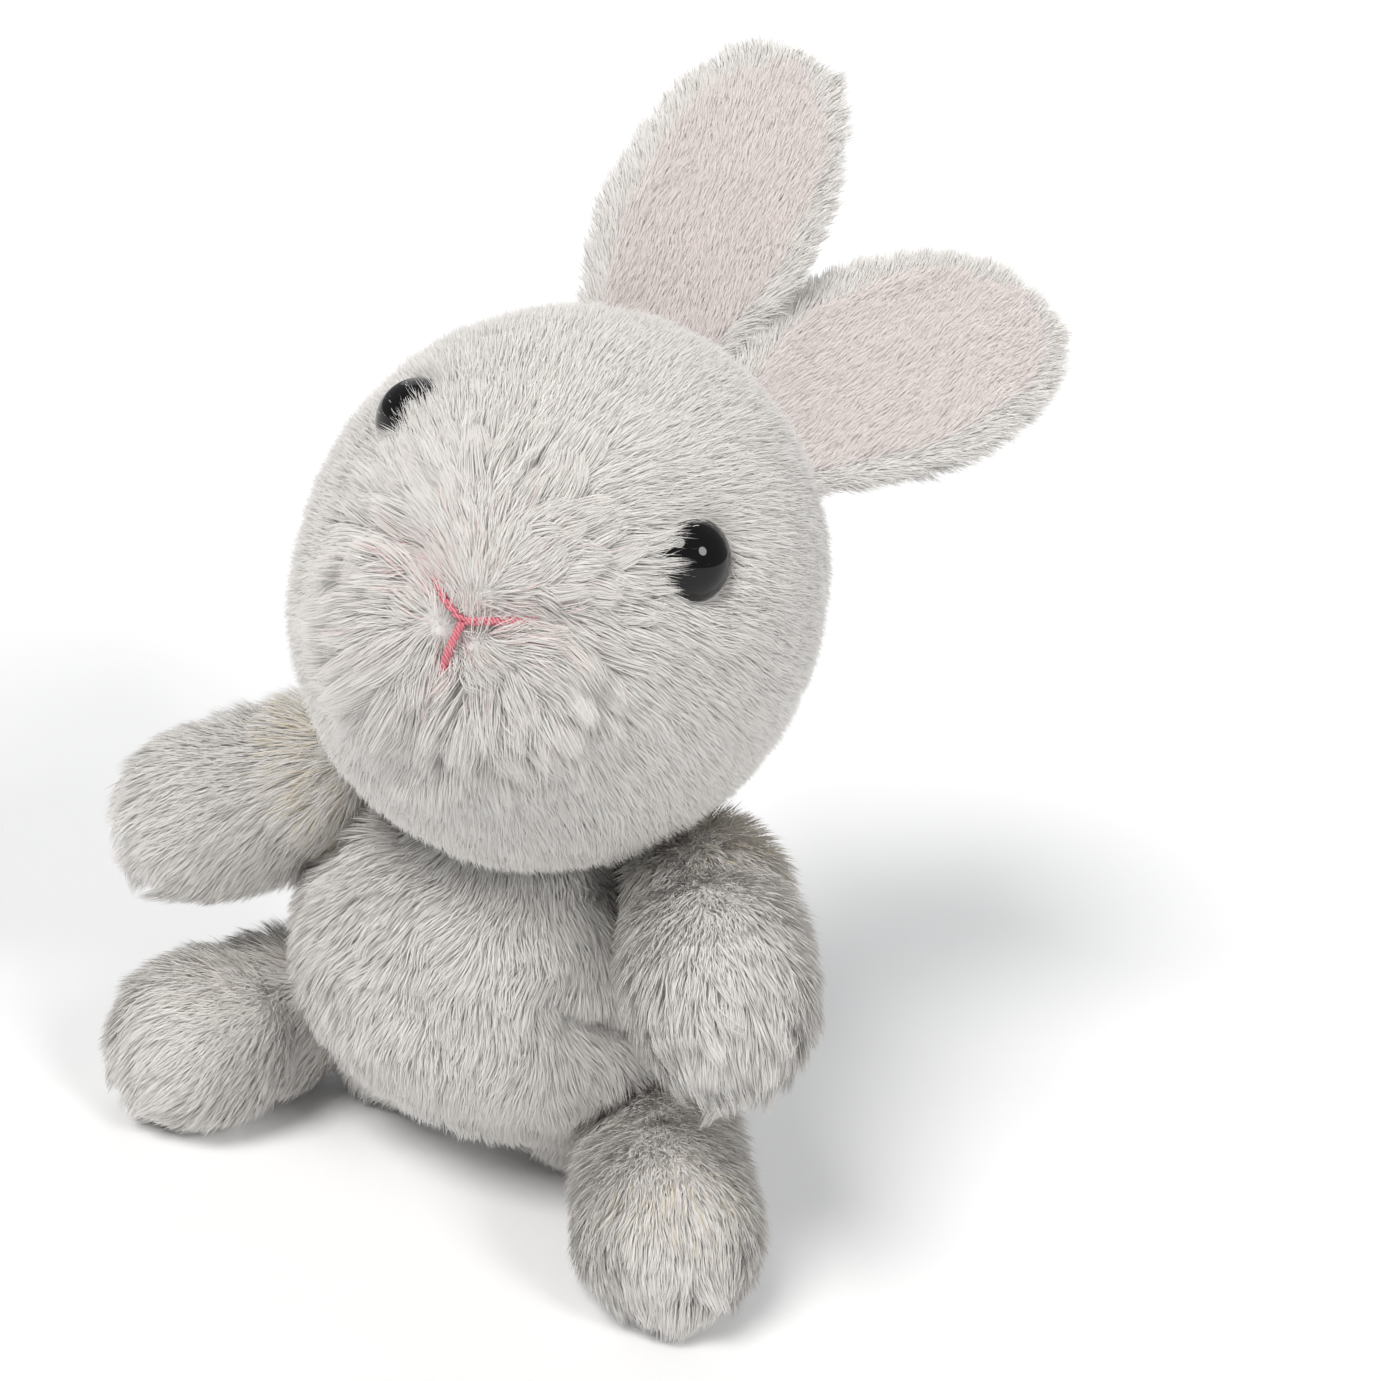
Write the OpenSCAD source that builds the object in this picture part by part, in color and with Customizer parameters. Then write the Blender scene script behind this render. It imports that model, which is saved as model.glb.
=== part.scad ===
// Sitting stuffed bunny rabbit, made as a plush toy is: pile cloth skins sewn round polyester
// fill, with the head, arms, legs, ears and tail sewn on so that they flop at their seams.
// Millimetres. +Z is up, the bunny faces -Y, and +X is its own left side.
// The origin is the centre of the flat seat that it sits on.
// Every skin's outer surface is half way up its pile, so fur tips stand a little proud of it.

/* [Cloth and thread] */
// Thickness of the pile cloth, from the backing to half way up the pile
plush_t = 4; // [3:0.25:5]
// Gap between a skin and the fill inside it
fill_gap = 0.2; // [0.1:0.05:0.4]
// Thickness of the sewing thread rings that hold the limbs on
thread_d = 1; // [0.6:0.1:1.2]
// Room on each side of a thread ring
thread_gap = 0.25; // [0.2:0.05:0.5]

/* [Torso] */
// Width of the torso across the belly
torso_w = 65; // [55:1:78]
// Depth of the torso from belly to back
torso_d = 54; // [46:1:66]
// Height of the torso's full oval, before its seat is flattened
torso_oval_h = 76; // [64:1:92]
// How much of the oval the flat seat takes off
seat_cut = 8; // [5:0.5:11]
// How far the torso's middle sits behind the origin
torso_back = 1; // [0:0.5:3]

/* [Head] */
// Width of the head from cheek to cheek
head_w = 74; // [62:1:84]
// Depth of the head from muzzle to back
head_d = 75; // [63:1:84]
// Height of the head from chin to crown
head_h = 81; // [68:1:90]
// Share of the head's height that sinks past the top of the torso
head_sink = 0.142; // [0.11:0.002:0.16]
// How far the head's middle sits to the bunny's left
head_left = 1.5; // [0:0.5:3]
// How far the head's middle sits in front of the origin
head_fore = 2; // [0:0.5:4]
// Backward tilt of the face, looking up
head_tilt_back = 15; // [0:1:20]
// Sideways tilt of the head towards the bunny's left
head_tilt_side = 11; // [0:1:15]
// Turn of the face towards the bunny's right
head_turned = 2; // [-5:1:5]
// Radius of the round neck that the head sits over
neck_r = 17; // [14:0.5:19]

/* [Face] */
// Diameter of a plastic safety eye
eye_d = 12; // [9:0.5:14]
// How far an eye stands out of its seat
eye_h = 4.6; // [3.5:0.1:5.5]
// Depth of the seat that the eye's rim sinks into
eye_seat = 1; // [0.5:0.1:1.5]
// Diameter of the eye's stem
eye_stem_d = 4; // [3:0.25:5]
// Diameter of the washer that locks the stem
eye_washer_d = 13; // [11:0.5:16]
// Thickness of the washer
eye_washer_t = 1.2; // [1:0.1:2]
// Angle of each eye round the head from the nose
eye_turn = 43; // [35:1:50]
// Height of the eyes on the head, as an angle
eye_up = 24; // [15:1:30]
// Thickness of the embroidery thread of the nose and mouth
stitch_d = 1.6; // [1.2:0.1:2.2]
// Height of the nose on the head, as an angle
nose_up = -4.5; // [-12:0.5:4]
// Sideways angle of the nose, sewn a little off centre
nose_turn = 2; // [-3:0.5:3]
// Width of the nose's V
nose_w = 20; // [14:1:24]
// Height of the nose's V
nose_h = 4.5; // [3:0.5:7]
// Length of the mouth's single upright stitch
mouth_l = 7.5; // [5:0.5:10]

/* [Ears] */
// Length of an ear
ear_l = 63; // [50:1:76]
// Width of an ear at its widest
ear_w = 30; // [24:1:36]
// Width of an ear where it is sewn on
ear_root_w = 18; // [14:1:20]
// Thickness of the ear's furry back layer
ear_back_t = 2; // [1.5:0.1:3]
// Thickness of the ear's smooth lining
ear_lining_t = 1.4; // [1:0.1:2]
// Width of the furry rim round the lining
ear_rim = 2.5; // [1.5:0.25:4]
// Diameter of the rolled hem that the ear hinges on
ear_hem_d = 4.4; // [4:0.2:5]
// Sideways angle of the ears' roots from the middle of the crown
ear_turn = 26; // [22:1:32]
// How far behind the crown the ears are sewn on, as an angle
ear_behind = 43; // [35:1:50]
// Twist of both linings towards the bunny's left
ear_twist = 14; // [0:1:20]
// Backward lean of the right ear, which stands up
ear_right_back = 16; // [8:1:30]
// Outward lean of the right ear
ear_right_out = 8.5; // [4:0.5:16]
// Backward lean of the left ear, which flops behind
ear_left_back = 41; // [30:1:48]
// Outward lean of the left ear
ear_left_out = 12; // [8:0.5:20]

/* [Arms] */
// Reach of an arm from its shoulder pivot to the paw's end
arm_l = 32; // [27:0.5:38]
// Diameter of an arm
arm_d = 23.5; // [19:0.5:27]
// Diameter of the arm's round shoulder
shoulder_d = 21; // [18:0.5:23]
// How far the shoulder pivots are below the top of the torso
shoulder_drop = 12; // [10:0.5:16]
// How far the shoulder pivots stand out of the torso's flank, less what the arm swells by
shoulder_out = 3.9; // [3:0.1:5.5]
// How far the shoulders sit in front of the torso's middle
shoulder_fore = 4; // [2:0.5:6]
// Forward angle of the right arm
arm_right_fore = 20; // [10:1:30]
// Downward angle of the right arm
arm_right_down = 27; // [15:1:30]
// Forward angle of the left arm
arm_left_fore = 56; // [45:1:60]
// Downward angle of the left arm
arm_left_down = 12; // [5:1:20]

/* [Legs] */
// Reach of a leg from its hip pivot to the foot's end
leg_l = 35; // [30:0.5:42]
// Diameter of a leg
leg_d = 24; // [20:0.5:26]
// Diameter of the leg's round hip
hip_d = 22; // [19:0.5:24]
// How far the hip pivots stand out of the torso's side, less what the leg swells by
hip_out = 2.5; // [1.5:0.25:4]
// How far the hips sit in front of the torso's middle
hip_fore = 6; // [4:0.5:8]
// Forward angle of the right leg
leg_right_fore = 62; // [50:1:70]
// Forward angle of the left leg
leg_left_fore = 60; // [50:1:70]
// Downward angle of both legs
leg_down = 4; // [2:1:8]

/* [Tail] */
// Diameter of the tail puff
tail_d = 22; // [18:0.5:26]
// Diameter of the tail's sewn root
tail_root_d = 14; // [11:0.5:15]
// Height of the tail's root above the seat
tail_z = 15; // [14:0.5:20]

/* [Hidden] */
$fn = 72;

LEFT = 1;
RIGHT = -1;
fur = [0.86, 0.85, 0.83];
ear_pink = [0.87, 0.80, 0.78];
fill_white = [0.96, 0.96, 0.94];
thread_white = [0.9, 0.9, 0.87];
nose_pink = [0.82, 0.42, 0.46];
eye_black = [0.03, 0.03, 0.03];
washer_clear = [0.8, 0.8, 0.78];

// A thread ring runs between a round joint and its socket, with room on both sides.
seam_gap = thread_d + 2 * thread_gap;
head_room = 5;      // clear space that the torso leaves under the head for its nod
running_gap = 0.4;  // between any two other pieces that move past each other
press_gap = 0.1;    // round a stem that is pushed through cloth
tail_tuck = 1;      // how much of the tail puff is drawn in past its pivot
overshoot = 1;      // how far a cutting shape runs past what it cuts

torso_r = [torso_w, torso_d, torso_oval_h] / 2;
torso_c = [0, torso_back, torso_r.z - seat_cut];
torso_top = 2 * torso_r.z - seat_cut;
head_r = [head_w, head_d, head_h] / 2;
head_c = [head_left, -head_fore, torso_top + head_r.z - head_sink * head_h];
neck_rise = 1;      // how far the round neck stands above the torso's oval
neck_c = [head_left / 2, torso_back - head_fore, torso_top + neck_rise - neck_r];
neck_seam_up = 8;   // height of the neck's thread ring above the neck pivot
flank_bulge = 1.1;  // the torso's flank below the shoulder, as a share of its half width there
limb_seam_cone = 28; // angle of a limb's thread ring from the line into the torso

// Half the torso's width at a height above the seat.
function torso_side(z) = torso_r.x * sqrt(1 - pow((z - torso_c.z) / torso_r.z, 2));
// How far behind the torso's middle its back is, at a height above the seat.
function torso_rear(z) = torso_r.y * sqrt(1 - pow((z - torso_c.z) / torso_r.z, 2));

shoulder_z = torso_top - shoulder_drop;
// The flank bulges below the shoulder, more so on a wide torso, and the arm swells past its root.
shoulder_x = torso_side(shoulder_z) * flank_bulge + shoulder_out + (arm_d - shoulder_d) / 2;
shoulder_y = torso_back - shoulder_fore;
hip_z = leg_d / 2 + leg_l / 2 * sin(leg_down) - 0.2; // the foot's underside meets the floor
hip_x = torso_side(hip_z) + hip_out + (leg_d - hip_d) / 2;
hip_y = torso_back - hip_fore;
tail_c = [0, torso_back + torso_rear(tail_z) + 1, tail_z];
tail_reach = tail_d / 2 - tail_tuck;

function shoulder_c(side) = [side * shoulder_x, shoulder_y, shoulder_z];
function hip_c(side) = [side * hip_x, hip_y, hip_z];

// A direction as two angles: turned forward from the side, then down.
function limb_dir(side, fore, down) =
    [side * cos(fore) * cos(down), -sin(fore) * cos(down), -sin(down)];
// A direction on the head: turned to the bunny's left from the nose, then up.
function face_dir(turn, up) = [sin(turn) * cos(up), -cos(turn) * cos(up), sin(up)];
// The head oval's point and outward normal for such a direction, in the head's own frame.
function on_head(dir) = [for (i = [0:2]) head_r[i] * dir[i]];
function head_normal(dir) =
    let (n = [for (i = [0:2]) dir[i] / head_r[i]]) n / norm(n);
function ear_dir(side) = face_dir(180 - side * ear_turn, 90 - ear_behind);

// Turns +Z onto a direction.
module along(dir) {
    rotate([0, acos(dir.z / norm(dir)), atan2(dir.y, dir.x)]) children();
}

module oval(radii) {
    scale(radii / radii.x) sphere(r = radii.x);
}

module head_frame() {
    translate(head_c) rotate([-head_tilt_back, head_tilt_side, -head_turned]) children();
}

module face_frame(turn, up) {
    dir = face_dir(turn, up);
    head_frame() translate(on_head(dir)) along(head_normal(dir)) children();
}

// ---- Torso ----

// The torso's solid form, inset evenly for its linings. Round dimples hold the limbs' roots.
module torso_form(inset) {
    difference() {
        translate(torso_c) oval(torso_r - inset * [1, 1, 1]);
        translate([-torso_w, -torso_d, inset - torso_oval_h])
            cube([2 * torso_w, 2 * torso_d, torso_oval_h]);
        head_frame() oval(head_r + (head_room + inset) * [1, 1, 1]);
        for (side = [LEFT, RIGHT]) {
            translate(shoulder_c(side)) sphere(r = shoulder_d / 2 + seam_gap + inset);
            translate(hip_c(side)) sphere(r = hip_d / 2 + seam_gap + inset);
        }
        translate(tail_c) sphere(r = tail_root_d / 2 + running_gap + inset);
    }
    translate(neck_c) sphere(r = neck_r - inset);
}

module torso_shell() {
    color(fur) difference() {
        torso_form(0);
        torso_form(plush_t);
    }
}

module torso_stuffing() {
    color(fill_white) difference() {
        torso_form(plush_t + fill_gap);
        translate(neck_c) sphere(r = neck_r - plush_t);
    }
}

// A row of short stitches across the seam up the back that was left open for filling.
module back_closing_stitches() {
    count = 7;
    pitch = 4;
    stitch_l = 5;
    low = torso_c.z - 2;
    color(thread_white) for (i = [0:count - 1]) {
        z = low + i * pitch;
        translate([-stitch_l / 2, torso_back + torso_rear(z), z])
            rotate([0, 90, 0]) cylinder(d = thread_d, h = stitch_l);
    }
}

// ---- Head ----

module head_form(inset) {
    difference() {
        head_frame() oval(head_r - inset * [1, 1, 1]);
        translate(neck_c) sphere(r = neck_r + seam_gap + inset);
    }
}

module head_shell() {
    color(fur) difference() {
        head_form(0);
        head_form(plush_t);
        for (side = [LEFT, RIGHT]) {
            face_frame(side * eye_turn, eye_up) {
                translate([0, 0, -eye_seat]) cylinder(d = eye_d + 2 * press_gap, h = eye_h);
                translate([0, 0, -plush_t - overshoot])
                    cylinder(d = eye_stem_d + 2 * press_gap, h = plush_t + overshoot);
            }
            ear_frame(side) ear_hem(running_gap);
        }
    }
}

module head_stuffing() {
    eye_room = 2 * plush_t + eye_washer_t + 4;
    color(fill_white) difference() {
        head_form(plush_t + fill_gap);
        for (side = [LEFT, RIGHT])
            face_frame(side * eye_turn, eye_up) translate([0, 0, -eye_room])
                cylinder(d = eye_washer_d + 2 * fill_gap, h = eye_room);
    }
}

module neck_seam() {
    color(thread_white) thread_ring(neck_c, [0, 0, 1], neck_r, neck_seam_up);
}

module neck_stuffing() {
    color(fill_white) translate(neck_c) sphere(r = neck_r - plush_t - fill_gap);
}

// ---- Face ----

module eye(side) {
    dome_r = (pow(eye_d / 2, 2) + pow(eye_h, 2)) / (2 * eye_h);
    stem_l = 2 * plush_t + 2;
    color(eye_black) face_frame(side * eye_turn, eye_up) translate([0, 0, -eye_seat]) {
        intersection() {
            translate([0, 0, eye_h - dome_r]) sphere(r = dome_r);
            cylinder(d = 2 * eye_d, h = eye_h + overshoot);
        }
        translate([0, 0, -stem_l]) cylinder(d = eye_stem_d, h = stem_l);
    }
}

module eye_washer(side) {
    // The head's curved lining keeps the flat washer a little further in than the cloth is thick.
    depth = plush_t + pow(eye_washer_d / 2, 2) / head_w + fill_gap;
    color(washer_clear) face_frame(side * eye_turn, eye_up)
        translate([0, 0, -depth - eye_washer_t]) difference() {
            cylinder(d = eye_washer_d, h = eye_washer_t);
            translate([0, 0, -overshoot])
                cylinder(d = eye_stem_d + 2 * press_gap, h = eye_washer_t + 2 * overshoot);
        }
}

// One straight stitch of embroidery thread between two places on the face.
module face_stitch(from, to) {
    a = on_head(from);
    b = on_head(to);
    head_frame() translate(a) along(b - a) cylinder(d = stitch_d, h = norm(b - a));
}

module nose_stitches() {
    side_turn = atan(nose_w / head_d);
    side_up = 2 * atan(nose_h / head_h);
    gap_turn = atan(stitch_d / head_d);
    color(nose_pink) for (side = [LEFT, RIGHT])
        face_stitch(face_dir(nose_turn + side * gap_turn, nose_up),
                    face_dir(nose_turn + side * side_turn, nose_up + side_up));
}

module mouth_stitch() {
    drop = 2 * atan(mouth_l / head_h);
    gap_drop = 2 * atan(stitch_d / head_h);
    color(nose_pink) face_stitch(face_dir(nose_turn, nose_up - gap_drop),
                                 face_dir(nose_turn, nose_up - gap_drop - drop));
}

// ---- Ears ----

// The ear's own frame: its root on the head, +Z along the ear and -Y out of its lining.
module ear_frame(side) {
    back = side == LEFT ? ear_left_back : ear_right_back;
    out = side == LEFT ? ear_left_out : ear_right_out;
    head_frame() translate(on_head(ear_dir(side)))
        rotate([-back, 0, 0]) rotate([0, side * out, 0]) rotate([0, 0, ear_twist]) children();
}

module ear_hem(gap) {
    l = ear_root_w + 2 * gap;
    translate([-l / 2, 0, 0]) rotate([0, 90, 0]) cylinder(d = ear_hem_d + 2 * gap, h = l);
}

// Leaf outline: it swells from the root to its widest place, then closes in half an oval.
module ear_outline(inset) {
    widest = 0.45;
    steps = 14;
    half = ear_w / 2 - inset;
    root = ear_root_w / 2 - inset;
    l = ear_l - 2 * inset;
    function swell(s) = root + (half - root) * (1 - cos(180 * s)) / 2;
    edge = concat(
        [for (i = [0:steps]) [swell(i / steps), l * widest * i / steps]],
        [for (i = [1:steps - 1])
            [half * cos(90 * i / steps), l * (widest + (1 - widest) * sin(90 * i / steps))]]);
    mirrored = [for (i = [len(edge) - 1:-1:0]) [-edge[i].x, edge[i].y]];
    translate([0, inset]) polygon(concat(edge, [[0, l]], mirrored));
}

// A flat layer of the ear, its thickness measured backward from the given depth.
module ear_layer(depth, thickness, inset) {
    translate([0, depth + thickness, 0]) rotate([90, 0, 0])
        linear_extrude(thickness) ear_outline(inset);
}

module ear_back(side) {
    color(fur) ear_frame(side) {
        ear_layer(0, ear_back_t, 0);
        ear_hem(0);
    }
}

module ear_lining(side) {
    // It starts just past the hem, and lies on the ear's back.
    color(ear_pink) ear_frame(side) difference() {
        ear_layer(-ear_lining_t - press_gap, ear_lining_t, ear_rim);
        ear_hem(press_gap);
        translate([-ear_w, -ear_w, -ear_w]) cube([2 * ear_w, 2 * ear_w, ear_w + ear_hem_d / 2]);
    }
}

// ---- Arms and legs ----

// A ring of thread on a round joint, at a height along a direction from the joint's centre.
module thread_ring(centre, dir, joint_r, height) {
    path_r = joint_r + seam_gap / 2;
    translate(centre) along(dir) translate([0, 0, height])
        rotate_extrude() translate([sqrt(pow(path_r, 2) - pow(height, 2)), 0])
            circle(d = thread_d, $fn = 24);
}

// Blunt-ended limb along +Z from its pivot: a round root and a body with a rounded-square oval
// for its profile. Every size is inset evenly.
module limb_form(reach, d, root_d, inset) {
    bluntness = 2.5;
    steps = 22;
    half = reach / 2 - inset;
    function profile(a) = [
        (d / 2 - inset) * pow(sin(a), 2 / bluntness),
        -half * sign(cos(a)) * pow(abs(cos(a)), 2 / bluntness)
    ];
    sphere(r = root_d / 2 - inset);
    translate([0, 0, reach / 2]) rotate_extrude()
        polygon([for (i = [0:steps]) i == 0 ? [0, -half] : i == steps ? [0, half]
            : profile(180 * i / steps)]);
}

module limb_shell(centre, dir, reach, d, root_d) {
    color(fur) translate(centre) along(dir) difference() {
        limb_form(reach, d, root_d, 0);
        limb_form(reach, d, root_d, plush_t);
    }
}

// The limb's fill, beyond the softer wad at its root.
module limb_stuffing(centre, dir, reach, d, root_d) {
    color(fill_white) translate(centre) along(dir) difference() {
        limb_form(reach, d, root_d, plush_t + fill_gap);
        sphere(r = root_d / 2 - plush_t);
    }
}

module root_stuffing(centre, root_d) {
    color(fill_white) translate(centre) sphere(r = root_d / 2 - plush_t - fill_gap);
}

function arm_dir(side) = side == LEFT
    ? limb_dir(LEFT, arm_left_fore, arm_left_down)
    : limb_dir(RIGHT, arm_right_fore, arm_right_down);
function leg_dir(side) = side == LEFT
    ? limb_dir(LEFT, leg_left_fore, leg_down)
    : limb_dir(RIGHT, leg_right_fore, leg_down);

module arm_shell(side) {
    limb_shell(shoulder_c(side), arm_dir(side), arm_l, arm_d, shoulder_d);
}

module arm_stuffing(side) {
    limb_stuffing(shoulder_c(side), arm_dir(side), arm_l, arm_d, shoulder_d);
}

// The ring that holds a limb on, in the dimple that its round root sits in.
module limb_seam(centre, inward, root_d) {
    height = (root_d + seam_gap) / 2 * cos(limb_seam_cone);
    color(thread_white) thread_ring(centre, inward, root_d / 2, height);
}

module shoulder_seam(side) {
    limb_seam(shoulder_c(side), [-side, 0.25, -0.8], shoulder_d);
}

module leg_shell(side) {
    limb_shell(hip_c(side), leg_dir(side), leg_l, leg_d, hip_d);
}

module leg_stuffing(side) {
    limb_stuffing(hip_c(side), leg_dir(side), leg_l, leg_d, hip_d);
}

module hip_seam(side) {
    limb_seam(hip_c(side), [-side, 0.3, 0.4], hip_d);
}

// ---- Tail ----

module tail_form(inset) {
    translate(tail_c) {
        sphere(d = tail_root_d - 2 * inset);
        translate([0, tail_reach, 0]) sphere(d = tail_d - 2 * inset);
    }
}

module tail_shell() {
    color(fur) difference() {
        tail_form(0);
        tail_form(plush_t);
    }
}

module tail_stuffing() {
    color(fill_white) translate(tail_c + [0, tail_reach, 0])
        sphere(d = tail_d - 2 * (plush_t + fill_gap));
}

torso_shell();
torso_stuffing();
back_closing_stitches();
head_shell();
head_stuffing();
neck_seam();
neck_stuffing();
eye(LEFT);  // eye_left
eye(RIGHT);  // eye_right
eye_washer(LEFT);  // eye_washer_left
eye_washer(RIGHT);  // eye_washer_right
nose_stitches();
mouth_stitch();
ear_back(LEFT);  // ear_left_back
ear_lining(LEFT);  // ear_left_lining
ear_back(RIGHT);  // ear_right_back
ear_lining(RIGHT);  // ear_right_lining
arm_shell(LEFT);  // arm_left_shell
arm_stuffing(LEFT);  // arm_left_stuffing
arm_shell(RIGHT);  // arm_right_shell
arm_stuffing(RIGHT);  // arm_right_stuffing
shoulder_seam(LEFT);  // shoulder_left_seam
root_stuffing(shoulder_c(LEFT), shoulder_d);  // shoulder_left_stuffing
shoulder_seam(RIGHT);  // shoulder_right_seam
root_stuffing(shoulder_c(RIGHT), shoulder_d);  // shoulder_right_stuffing
leg_shell(LEFT);  // leg_left_shell
leg_stuffing(LEFT);  // leg_left_stuffing
leg_shell(RIGHT);  // leg_right_shell
leg_stuffing(RIGHT);  // leg_right_stuffing
hip_seam(LEFT);  // hip_left_seam
root_stuffing(hip_c(LEFT), hip_d);  // hip_left_stuffing
hip_seam(RIGHT);  // hip_right_seam
root_stuffing(hip_c(RIGHT), hip_d);  // hip_right_stuffing
tail_shell();
tail_stuffing();
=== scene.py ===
"""Looks of a sitting stuffed bunny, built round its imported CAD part.

Metres, +Z up, the bunny faces -Y and +X is its own left side. Each part of the toy is a padded
cloth skin with pile of its own, grown as fine mesh strands. All places come from the CAD nodes.
"""
import math
import bmesh
import bpy
import numpy as np
from mathutils import Matrix, Vector, kdtree, noise
from mathutils.bvhtree import BVHTree


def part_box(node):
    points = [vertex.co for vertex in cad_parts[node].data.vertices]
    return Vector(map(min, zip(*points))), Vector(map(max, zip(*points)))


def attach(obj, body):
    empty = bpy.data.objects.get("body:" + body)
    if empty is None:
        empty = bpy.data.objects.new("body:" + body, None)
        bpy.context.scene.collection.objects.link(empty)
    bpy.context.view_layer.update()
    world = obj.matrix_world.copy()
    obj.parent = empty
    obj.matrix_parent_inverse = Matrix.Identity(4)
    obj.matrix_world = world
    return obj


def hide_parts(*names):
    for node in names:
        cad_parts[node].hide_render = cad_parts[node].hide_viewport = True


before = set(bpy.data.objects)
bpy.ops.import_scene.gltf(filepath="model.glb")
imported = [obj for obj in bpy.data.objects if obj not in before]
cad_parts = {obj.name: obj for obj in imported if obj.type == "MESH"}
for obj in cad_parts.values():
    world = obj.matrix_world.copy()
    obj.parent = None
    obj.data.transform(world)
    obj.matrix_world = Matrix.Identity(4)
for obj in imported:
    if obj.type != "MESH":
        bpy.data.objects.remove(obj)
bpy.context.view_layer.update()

MM = 0.001
SEED = 11
SIDES = ("left", "right")

# ---- The padded skins ----
SKIN_INSET = 1.9 * MM  # the cloth's backing lies this far inside the CAD surface
BODY_GAP = 0.6 * MM  # kept free between the skins of two bodies
FILL_GAP = 2.0 * MM  # from a skin in to the padding's own surface
SKIN_FLOOR, FUR_FLOOR = 0.6 * MM, 0.15 * MM  # nothing of the skins or the pile lies lower
# How far each skin stands out from where it was cast.
PLUMP = {"head": 1.7 * MM, "torso": 1.2 * MM, "arm": 2.4 * MM, "leg": 2.2 * MM, "tail": 0.8 * MM}
LEG_SHORT = {"left": 0.10, "right": 0.20}  # share that the padding ends short
FRONT_LIFT, FRONT_BACK = 8.5 * MM, 3.0 * MM  # the belly's lower front goes up and back
# The belly's fold: turns from straight ahead towards its left, and heights as shares.
FOLD_TURNS = (20, 31, 41, 54, 68)
FOLD_HEIGHTS = (0.77, 0.65, 0.56, 0.53, 0.505)

# ---- The cloth's simulation ----
SIM_SCALE = 8.0  # cloth behaves better at furniture size
SIM_FRAMES, SIM_QUALITY = 20, 5
PRESSURE, STIFFNESS, BENDING = 4.0, 12, 0.4
SWELL_CAP = 1.3 * MM  # how far the padding may move the cloth

# ---- The pile ----
PILE_MM = {"head": 5.2, "torso": 5.6, "limb": 5.3, "tail": 6.6, "ear": 4.2, "lining": 3.3}
LEAN = {"head": 50, "torso": 44, "limb": 54, "tail": 30, "ear": 56, "lining": 52}  # degrees
DENSE = {"face": 12.0, "crown": 9.5, "nape": 6.4, "belly": 7.4, "back": 6.4, "limb": 8.5,
         "tail": 8.0, "ear": 11.0, "lining": 18.0}  # strands per mm2
STRAND_W = {"head": 0.13 * MM, "torso": 0.155 * MM, "limb": 0.15 * MM, "ear": 0.13 * MM,
            "lining": 0.12 * MM}
STRAND_TWIST = 0.9  # most that a blade turns about its length, in radians
MOST_STRANDS = 39000  # in one piece
LOCK_TIGHT = 0.35  # how far a lock's strands close up on its leader
BAKE_MAP = "OFBake"  # the strands' colour map: tone across, root to tip upward
TONE_W = 0.012  # width of one strand on that map
CLEAN_TONE = 0.36  # places across that map: clean strands, and tinted ones below
TINT = {"head": 0.70, "torso": 0.90, "limb": 0.91, "lining": 0.85, "plain": 0.3}
FACE_EDGE, NAPE_EDGE = 11 * MM, -12 * MM  # where the head's three bands of pile meet
EYE_BALD = 6.0 * MM - 0.9 * MM  # radius without pile under an eye
EYE_CLEAR = 0.15 * MM  # strands lie this far off an eye's dome

# ---- The ears ----
EAR_WIDEN = {"left": 3.6 * MM, "right": 0.9 * MM}
EAR_LEAN = {"left": 10.5 * MM, "right": 5.5 * MM}  # sideways sag of each tip
EAR_HALF_T = 1.5 * MM
EAR_CUP = 1.6 * MM  # how far the lining's middle sits back from its edges
EAR_RIM = 0.80  # the lining ends at this share of the half width
EAR_TIP = 0.3 * MM  # half the width that the leaf closes to
EAR_RECURVE = 2.2 * MM  # how far the tip bends back
LINING_FROM, LINING_SPAN = 0.03, 0.92  # where along the ear the lining lies, as shares

# ---- The stitched face ----
THREAD_R, PLY_R = 0.34 * MM, 0.32 * MM  # one ply, and the ring that the plies wind on
THREAD_ARCH, THREAD_LIFT = 0.9 * MM, -0.2 * MM  # over the pile at the middle, and all along
PLIES, PLY_TURNS, PLY_STEPS, TUBE_SIDES = 3, 2.2, 16, 8
STITCH_SHOWN = {"nose_left": 0.96, "nose_right": 0.72, "mouth": 1.0}

# ---- The studio ----
FLOOR_HALF = 80.0
SKY, SKY_STRENGTH = (0.93, 0.965, 1.0, 1), 0.30
WARM = (1.0, 0.985, 0.965)
# Each light: where it comes from, its strength, its width in degrees and its colour.
LIGHTS = {"key": ((-0.22, -0.62, 0.85), 2.2, 26, WARM),
          "across": ((0.75, -0.30, 0.65), 1.0, 20, WARM),
          "back": ((-0.35, 0.75, 0.50), 0.40, 50, (1, 1, 1))}
VIEW_TURN, VIEW_RISE, VIEW_ROLL = 21.0, 24.0, 9.0  # degrees, round the target below
VIEW_DISTANCE = 330 * MM
VIEW_TARGET = np.array([0, -3 * MM, 68 * MM])
AIM_RIGHT, AIM_UP = 26.2 * MM, 11.6 * MM  # the picture's middle, from the target
LENS, SENSOR = 56.05, 36.0


# ---- Small vector helpers on arrays of points ----
def unit(v):
    return v / np.maximum(np.linalg.norm(v, axis=-1, keepdims=True), 1e-12)


def dot(a, b):
    return (a * b).sum(-1, keepdims=True)


def flat_on(v, n):
    """v without its part along the unit normal n, at length 1."""
    return unit(v - dot(v, n) * n)


def arr(v):
    return np.array(v, float)


def far_from(p, at):
    return np.linalg.norm(p - at, axis=1)


def fade(distance, width):
    """1 at no distance, falling smoothly to nothing past the width."""
    return np.exp(-(distance / width) ** 2)


def smooth_step(x, lo, hi):
    t = np.clip((x - lo) / (hi - lo), 0, 1)
    return t * t * (3 - 2 * t)


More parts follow.
